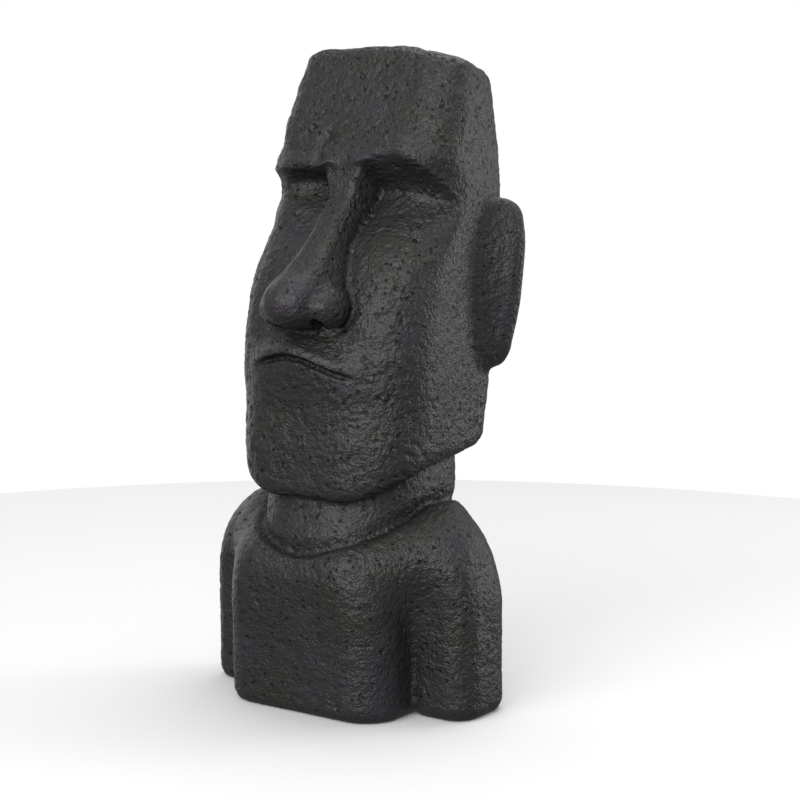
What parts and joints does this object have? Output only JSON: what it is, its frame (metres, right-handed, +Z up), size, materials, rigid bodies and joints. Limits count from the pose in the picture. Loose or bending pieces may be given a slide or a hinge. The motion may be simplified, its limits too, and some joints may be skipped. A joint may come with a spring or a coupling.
{
  "type": "garden statue",
  "caption": "Moai-style garden bust with a tall flat-backed head, heavy brow, long nose, long ears, short neck and arms held against the chest, on a flat base.",
  "frame": {"origin": "bottom centre of the bounding box, on the ground plane", "axes": "+Z up along the statue's height, -Y is the way the face looks, +X towards the statue's left ear"},
  "size_m": [0.265, 0.19, 0.535],
  "materials": {
    "dark_cast_stone": "satin"
  },
  "bodies": {
    "root": {"moai_statue": "dark_cast_stone"}
  },
  "joints": []
}
